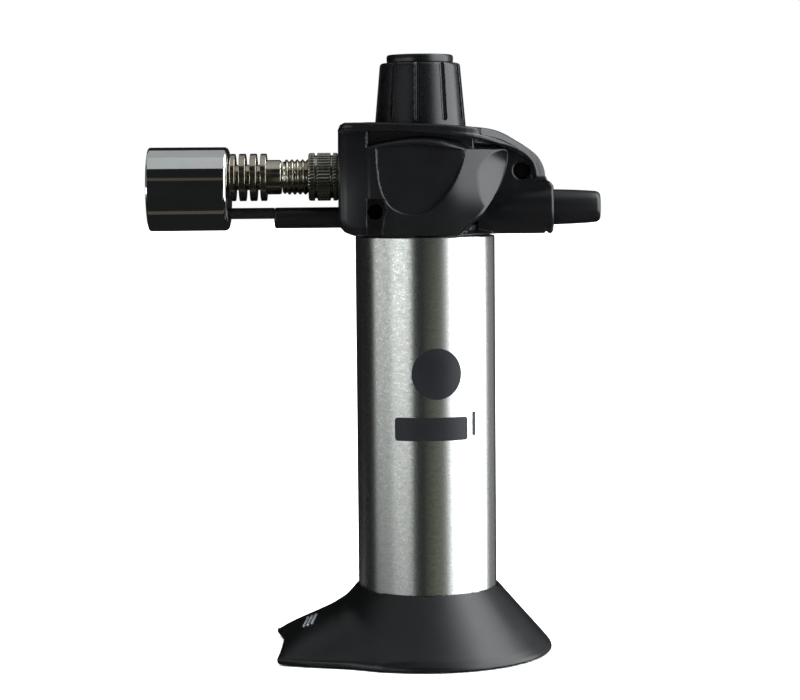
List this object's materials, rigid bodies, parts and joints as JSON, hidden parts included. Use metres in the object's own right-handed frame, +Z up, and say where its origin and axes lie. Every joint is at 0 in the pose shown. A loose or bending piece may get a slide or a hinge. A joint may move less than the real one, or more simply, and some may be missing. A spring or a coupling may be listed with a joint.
{
  "type": "butane torch",
  "caption": "Hand-held gas torch: upright aluminium fuel tank on a flared removable stand, moulded head with rotary gas knob, push igniter, finned burner and eccentric flame cup.",
  "frame": {"origin": "on the ground under the stand, at the middle of the bounding box in X and Y; the tank's axis is at X = +11.7 mm", "axes": "+Z up along the tank, -X the way the flame points, +X towards the igniter button, -Y the side the shell screws enter"},
  "size_m": [0.1056, 0.0588, 0.14],
  "materials": {
    "stand_plastic": "moulded, matt with a soft sheen",
    "black_plastic": "moulded, satin",
    "brushed_aluminium": "brushed round the tube, fine mottled grain",
    "chrome": "polished",
    "nickel": "turned, warm nickel tint",
    "knurled_steel": "straight knurl, dulled",
    "spring_steel": "plain",
    "brass": "turned",
    "rubber": "plain",
    "nylon": "moulded, natural",
    "ceramic": "black sleeve",
    "wire_jacket": "insulated wire",
    "felt": "felt"
  },
  "bodies": {
    "torch": {"tank_sleeve": "brushed_aluminium", "fuel_tank": "nylon", "tank_bottom_cap": "stand_plastic", "tank_top_cap": "stand_plastic", "valve_seal": "rubber", "wick": "felt", "refill_valve_body": "brass", "refill_seal": "rubber", "refill_spring": "spring_steel", "gas_valve_body": "brass", "gland_nut": "brass", "jet": "brass", "head_shell_near": "black_plastic", "head_shell_far": "black_plastic", "shell_screw_front": "spring_steel", "shell_screw_rear": "spring_steel", "piezo_case": "nylon", "piezo_contact": "brass", "piezo_spring": "spring_steel", "ignition_wire": "wire_jacket", "burner_tube": "nickel", "finned_barrel": "nickel", "flame_cup": "chrome", "burner_nozzle": "nickel", "flame_holder": "spring_steel", "electrode_holder": "black_plastic", "electrode_sleeve": "ceramic", "electrode_wire": "spring_steel"},
    "stand": {"stand": "stand_plastic"},
    "knob_lift": {"spindle_seal": "rubber"},
    "knob": {"needle_spindle": "spring_steel", "gas_knob": "black_plastic", "knob_cap": "black_plastic", "knob_screw": "spring_steel"},
    "igniter": {"ignition_button": "black_plastic", "piezo_plunger": "nylon"},
    "collar_travel": {"collar_ring": "rubber"},
    "air_collar": {"air_collar": "knurled_steel"},
    "refill_stem": {"refill_stem": "brass"}
  },
  "joints": [
    {"name": "stand_pull", "type": "slide", "parent": "torch", "child": "stand", "axis": [0, 0, -1], "range_m": [0, 0.016]},
    {"name": "knob_rise", "type": "slide", "parent": "torch", "child": "knob_lift", "axis": [0, 0, 1], "range_m": [0, 0.000375]},
    {"name": "knob_turn", "type": "hinge", "parent": "knob_lift", "child": "knob", "pos_m": [0.01081, 0, 0.124], "axis": [0, 0, 1], "range_deg": [0, 270]},
    {"name": "igniter_push", "type": "slide", "parent": "torch", "child": "igniter", "axis": [-1, 0, 0], "range_m": [0, 0.0045], "stiffness_N_per_m": 1200, "springref_m": -0.003, "deforming": ["piezo_spring"]},
    {"name": "collar_shift", "type": "slide", "parent": "torch", "child": "collar_travel", "axis": [-1, 0, 0], "range_m": [0, 0.0025]},
    {"name": "collar_turn", "type": "hinge", "parent": "collar_travel", "child": "air_collar", "pos_m": [-0.01199, 0, 0.1118], "axis": [-1, 0, 0], "range_deg": [0, 720]},
    {"name": "refill_push", "type": "slide", "parent": "torch", "child": "refill_stem", "axis": [0, 0, 1], "range_m": [0, 0.0015], "stiffness_N_per_m": 600, "springref_m": -0.003, "deforming": ["refill_spring"]}
  ],
  "couplings": [
    {"joint": "knob_turn", "follows": "knob_rise", "rad_per_m": 12566},
    {"joint": "collar_turn", "follows": "collar_shift", "rad_per_m": 5026.5}
  ]
}
